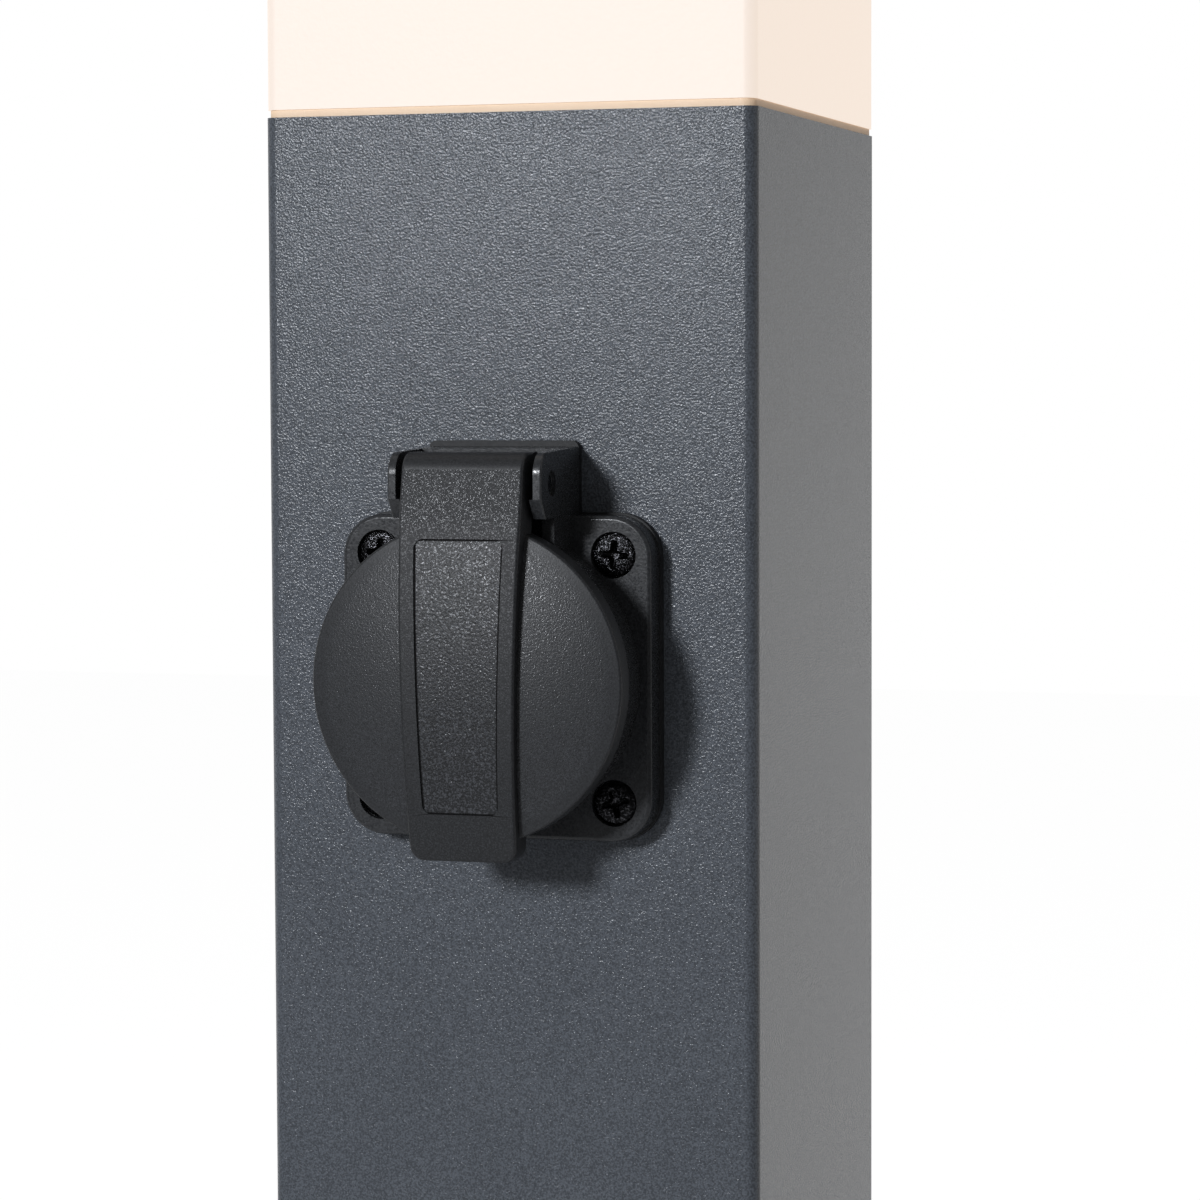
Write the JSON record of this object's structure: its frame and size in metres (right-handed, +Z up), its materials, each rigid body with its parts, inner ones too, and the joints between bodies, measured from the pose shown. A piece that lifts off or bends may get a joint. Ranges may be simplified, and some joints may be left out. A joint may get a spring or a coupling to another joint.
{
  "type": "garden lamp post with socket",
  "caption": "Square outdoor post with a foot plate, an outdoor socket with a sprung lid on its front and an opal square lamp head on its top.",
  "frame": {"origin": "centre of the foot plate's underside, which is the centre of its ground bolt holes", "axes": "+Z up along the post, the socket looks along -Y, +X to the right seen from the front"},
  "size_m": [0.12, 0.1243, 0.8],
  "materials": {
    "anthracite_coating": "fine textured powder coat",
    "black_plastic": "fine spark-eroded texture",
    "black_rubber": "matt moulded",
    "opal_plastic": "satin opal, lit from inside",
    "light_silicone": "matt moulded",
    "white_plastic": "satin moulded",
    "ceramic": "glazed outside",
    "zinc_steel": "bright zinc plated",
    "stainless_steel": "plain turned",
    "black_steel": "black zinc plated",
    "brass": "plain stamped",
    "nickel": "nickel plated",
    "tinned_copper": "tin plated",
    "aluminium_sheet": "mill finish",
    "wire_insulation": "plain extruded"
  },
  "bodies": {
    "post": {"base_plate": "anthracite_coating", "foot_screws": "stainless_steel", "cable_grommet": "black_rubber", "post_profile": "anthracite_coating", "terminal_bracket": "zinc_steel", "bracket_screws": "zinc_steel", "terminal_block": "white_plastic", "terminal_cores": "brass", "terminal_screws": "zinc_steel", "block_screws": "zinc_steel", "cable_clamp": "white_plastic", "clamp_screws": "zinc_steel", "earth_bolt": "zinc_steel", "earth_lug": "tinned_copper", "earth_nuts": "zinc_steel", "socket_gasket": "black_rubber", "socket_housing": "black_plastic", "socket_floor": "black_plastic", "contact_carrier": "black_plastic", "pin_contacts": "brass", "earth_clip": "nickel", "contact_screws": "zinc_steel", "rear_cover": "black_plastic", "cover_screws": "zinc_steel", "socket_screws": "black_steel", "socket_nuts": "zinc_steel", "hinge_pin": "black_steel", "lid_spring": "stainless_steel", "head_gasket": "light_silicone", "head_plate": "aluminium_sheet", "spacer_tubes": "aluminium_sheet", "tie_screws": "stainless_steel", "lampholder_bracket": "zinc_steel", "holder_screws": "zinc_steel", "holder_nipple": "zinc_steel", "lampholder": "ceramic", "thread_shell": "nickel", "centre_contact": "nickel", "lamp_cap": "nickel", "lamp_body": "white_plastic", "lamp_globe": "opal_plastic", "diffuser": "opal_plastic", "cap_gasket": "light_silicone", "top_cap": "anthracite_coating", "socket_wires": "wire_insulation", "lamp_wires": "wire_insulation", "earth_lead": "wire_insulation"},
    "lid": {"socket_lid": "black_plastic", "lid_seal": "black_rubber"},
    "shutter": {"child_shutter": "white_plastic"}
  },
  "joints": [
    {"name": "lid_hinge", "type": "hinge", "parent": "post", "child": "lid", "pos_m": [0, -0.055, 0.5592], "axis": [-1, 0, 0], "range_deg": [0, 105], "stiffness_Nm_per_rad": 0.02, "springref_deg": -57.3, "deforming": ["lid_spring"]},
    {"name": "shutter_turn", "type": "hinge", "parent": "post", "child": "shutter", "pos_m": [0, -0.0345, 0.529], "axis": [0, 1, 0], "range_deg": [0, 40], "stiffness_Nm_per_rad": 0.0006, "springref_deg": -28.65}
  ]
}
